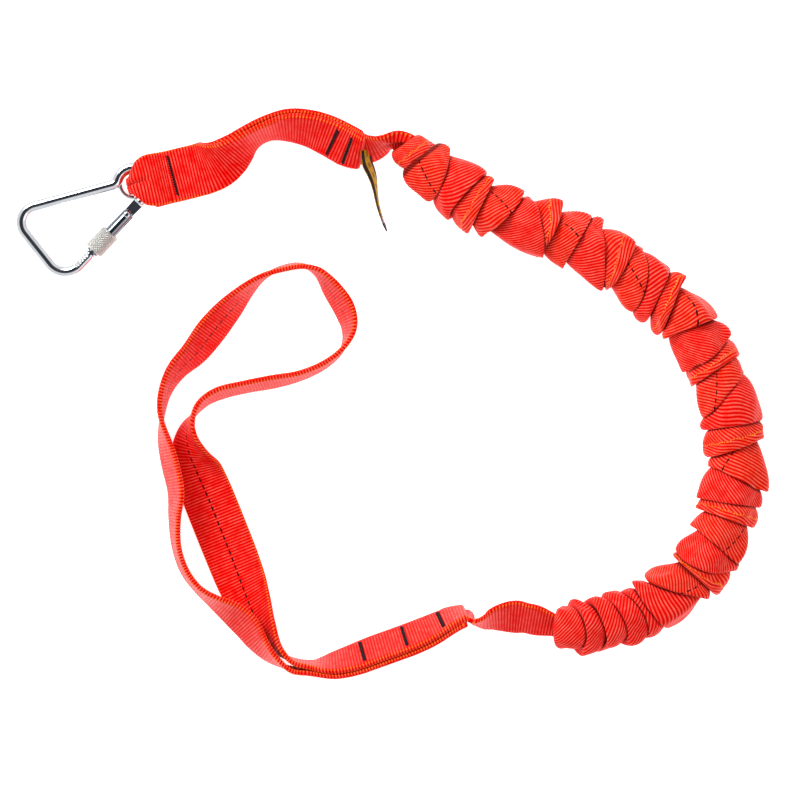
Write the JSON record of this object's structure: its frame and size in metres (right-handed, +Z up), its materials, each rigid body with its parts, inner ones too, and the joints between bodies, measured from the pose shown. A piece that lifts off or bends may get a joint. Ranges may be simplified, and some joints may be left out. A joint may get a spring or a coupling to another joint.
{
  "type": "shock absorbing lanyard",
  "caption": "Red-orange webbing lanyard with a screw-lock steel snap hook, a gathered elastic shock-absorbing sleeve and a sewn choke loop, lying in an open C.",
  "frame": {"origin": "middle of the footprint, on the surface the lanyard lies on", "axes": "+Z up from the surface; +X along the layout's long side, from the snap hook towards the gathered sleeve; +Y towards the leader and away from the sewn overlap"},
  "size_m": [0.3584, 0.271, 0.0286],
  "materials": {
    "steel": "polished stainless steel",
    "dark_steel": "plain steel, slightly dull",
    "knurled_steel": "knurled, matt nickel plate",
    "webbing": "ribbed fluorescent red-orange webbing",
    "stitching": "near-black bonded thread",
    "elastic": "braid-covered elastic and rubber",
    "label": "woven label tape, yellow with black borders"
  },
  "bodies": {
    "sleeve_01": {"sleeve_section_01": "webbing", "elastic_core_01": "elastic", "neck_webbing": "webbing"},
    "sleeve_02": {"sleeve_section_02": "webbing", "elastic_core_02": "elastic"},
    "sleeve_03": {"sleeve_section_03": "webbing", "elastic_core_03": "elastic"},
    "sleeve_04": {"sleeve_section_04": "webbing", "elastic_core_04": "elastic"},
    "sleeve_05": {"sleeve_section_05": "webbing", "elastic_core_05": "elastic"},
    "sleeve_06": {"sleeve_section_06": "webbing", "elastic_core_06": "elastic"},
    "sleeve_07": {"sleeve_section_07": "webbing", "elastic_core_07": "elastic"},
    "sleeve_08": {"sleeve_section_08": "webbing", "elastic_core_08": "elastic"},
    "sleeve_09": {"sleeve_section_09": "webbing", "elastic_core_09": "elastic"},
    "sleeve_10": {"sleeve_section_10": "webbing", "elastic_core_10": "elastic"},
    "sleeve_11": {"sleeve_section_11": "webbing", "elastic_core_11": "elastic"},
    "sleeve_12": {"sleeve_section_12": "webbing", "elastic_core_12": "elastic", "tail_webbing": "webbing"},
    "leader": {"leader_front_ply": "webbing", "leader_rear_ply": "webbing", "leader_bar_tack_1": "stitching", "leader_bar_tack_2": "stitching", "leader_bar_tack_3": "stitching"},
    "label": {"label": "label"},
    "eye_fold": {"webbing_eye_fold": "webbing"},
    "hook": {"hook_body": "steel", "eye_bar": "steel"},
    "gate": {"gate_barrel": "steel", "gate_rivet": "dark_steel", "gate_plunger": "dark_steel", "gate_spring": "dark_steel"},
    "lock_ring": {"lock_friction_ring": "elastic"},
    "lock_sleeve": {"lock_sleeve": "knurled_steel"},
    "overlap": {"overlap_rear_ply": "webbing", "overlap_front_ply": "webbing", "loop_bar_tack_1": "stitching", "loop_bar_tack_2": "stitching", "loop_bar_tack_3": "stitching"},
    "loop_arms": {"loop_outer_arm": "webbing", "loop_inner_arm": "webbing"},
    "loop_head": {"loop_head": "webbing"}
  },
  "joints": [
    {"name": "sleeve_stretch", "type": "slide", "parent": "sleeve_06", "child": "sleeve_07", "axis": [0.468, -0.8837, 0], "range_m": [0, 0.023]},
    {"name": "gate_pivot", "type": "hinge", "parent": "hook", "child": "gate", "pos_m": [-0.12511, 0.08571, 0.00617], "axis": [0.0484, 0.0278, -0.9984], "range_deg": [0, 26]},
    {"name": "lock_turn", "type": "hinge", "parent": "lock_ring", "child": "lock_sleeve", "pos_m": [-0.13313, 0.07735, 0.00555], "axis": [0.6908, 0.721, 0.0536], "range_deg": [-1872, 0]},
    {"name": "lock_travel", "type": "slide", "parent": "gate", "child": "lock_ring", "axis": [0.6908, 0.721, 0.0536], "range_m": [-0.0078, 0]},
    {"name": "hook_swing", "type": "hinge", "parent": "eye_fold", "child": "hook", "pos_m": [-0.12218, 0.10033, 0.00672], "axis": [-0.0484, -0.0278, 0.9984], "range_deg": [-20, 20]},
    {"name": "eye_flex", "type": "hinge", "parent": "leader", "child": "eye_fold", "pos_m": [-0.10734, 0.10325, 0.00701], "axis": [-0.2113, 0.9774, 0], "range_deg": [-20, 25]},
    {"name": "sleeve_stretch_06", "type": "slide", "parent": "sleeve_06", "child": "sleeve_05", "axis": [-0.749, 0.6626, 0], "range_m": [0, 0.023]},
    {"name": "sleeve_stretch_04", "type": "slide", "parent": "sleeve_04", "child": "sleeve_03", "axis": [-0.8501, 0.5267, 0], "range_m": [0, 0.023]},
    {"name": "sleeve_stretch_03", "type": "slide", "parent": "sleeve_03", "child": "sleeve_02", "axis": [-0.9544, 0.2987, 0], "range_m": [0, 0.0345]},
    {"name": "sleeve_stretch_02", "type": "slide", "parent": "sleeve_02", "child": "sleeve_01", "axis": [-0.8324, 0.5542, 0], "range_m": [0, 0.0345]},
    {"name": "sleeve_stretch_08", "type": "slide", "parent": "sleeve_07", "child": "sleeve_08", "axis": [0.1063, -0.9943, 0], "range_m": [0, 0.023]},
    {"name": "sleeve_stretch_10", "type": "slide", "parent": "sleeve_09", "child": "sleeve_10", "axis": [-0.1553, -0.9879, 0], "range_m": [0, 0.023]},
    {"name": "sleeve_stretch_11", "type": "slide", "parent": "sleeve_10", "child": "sleeve_11", "axis": [-0.6366, -0.7712, 0], "range_m": [0, 0.0345]},
    {"name": "sleeve_stretch_12", "type": "slide", "parent": "sleeve_11", "child": "sleeve_12", "axis": [-0.9218, -0.3876, 0], "range_m": [0, 0.0345]},
    {"name": "sleeve_bend_hook_side", "type": "hinge", "parent": "sleeve_05", "child": "sleeve_04", "pos_m": [0.11893, 0.05478, 0.01472], "axis": [0, 0, 1], "range_deg": [-18, 3]},
    {"name": "sleeve_bend_loop_side", "type": "hinge", "parent": "sleeve_08", "child": "sleeve_09", "pos_m": [0.1657, -0.03363, 0.01472], "axis": [0, 0, 1], "range_deg": [-3, 18]},
    {"name": "neck_flex", "type": "hinge", "parent": "sleeve_01", "child": "leader", "pos_m": [-0.00218, 0.1175, 0.0133], "axis": [0, 0, 1], "range_deg": [-18, 8]},
    {"name": "label_flap", "type": "hinge", "parent": "leader", "child": "label", "pos_m": [-0.01168, 0.10973, 0.01132], "axis": [0, 0, 1], "range_deg": [-30, 10]},
    {"name": "tail_flex", "type": "hinge", "parent": "sleeve_12", "child": "overlap", "pos_m": [0.03852, -0.10807, 0.01322], "axis": [0, 0, 1], "range_deg": [-9, 15]},
    {"name": "loop_base_flex", "type": "hinge", "parent": "overlap", "child": "loop_arms", "pos_m": [-0.03708, -0.13107, 0.01302], "axis": [0, 0, -1], "range_deg": [-10, 15]},
    {"name": "loop_waist_flex", "type": "hinge", "parent": "loop_arms", "child": "loop_head", "pos_m": [-0.09988, -0.00847, 0.01312], "axis": [0, 0, -1], "range_deg": [-15, 20]}
  ],
  "couplings": [
    {"joint": "lock_turn", "follows": "lock_travel", "rad_per_m": 4188.8},
    {"joint": "sleeve_stretch_06", "follows": "sleeve_stretch", "ratio": 1},
    {"joint": "sleeve_stretch_04", "follows": "sleeve_stretch", "ratio": 1},
    {"joint": "sleeve_stretch_03", "follows": "sleeve_stretch", "ratio": 1.5},
    {"joint": "sleeve_stretch_02", "follows": "sleeve_stretch", "ratio": 1.5},
    {"joint": "sleeve_stretch_08", "follows": "sleeve_stretch", "ratio": 1},
    {"joint": "sleeve_stretch_10", "follows": "sleeve_stretch", "ratio": 1},
    {"joint": "sleeve_stretch_11", "follows": "sleeve_stretch", "ratio": 1.5},
    {"joint": "sleeve_stretch_12", "follows": "sleeve_stretch", "ratio": 1.5}
  ]
}
